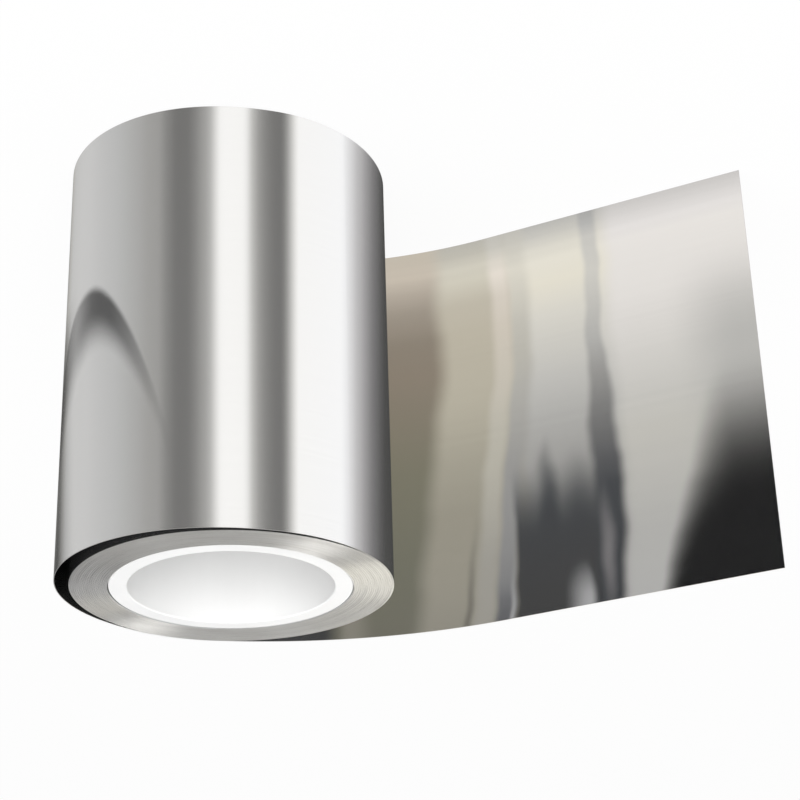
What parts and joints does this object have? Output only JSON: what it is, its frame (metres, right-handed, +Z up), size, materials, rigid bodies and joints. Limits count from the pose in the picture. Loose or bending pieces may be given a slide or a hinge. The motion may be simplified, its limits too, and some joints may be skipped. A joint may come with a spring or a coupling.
{
  "type": "roll of aluminium strip",
  "caption": "Roll of bright aluminium strip on a white plastic core tube, standing on its end, with a loose outer turn and a free end led off to the side.",
  "frame": {"origin": "centre of the core tube's bore, at the floor that the roll stands on", "axes": "+Z up along the roll's axis, -X the way that the free end leads off, +Y away from the picture's camera"},
  "size_m": [0.2668, 0.1242, 0.1704],
  "materials": {
    "strip_aluminium": "bright mill finish with fine rolling lines along the strip",
    "core_plastic": "satin extruded tube, sawn square at both ends"
  },
  "bodies": {
    "root": {"aluminium_strip": "strip_aluminium", "core_tube": "core_plastic"}
  },
  "joints": []
}
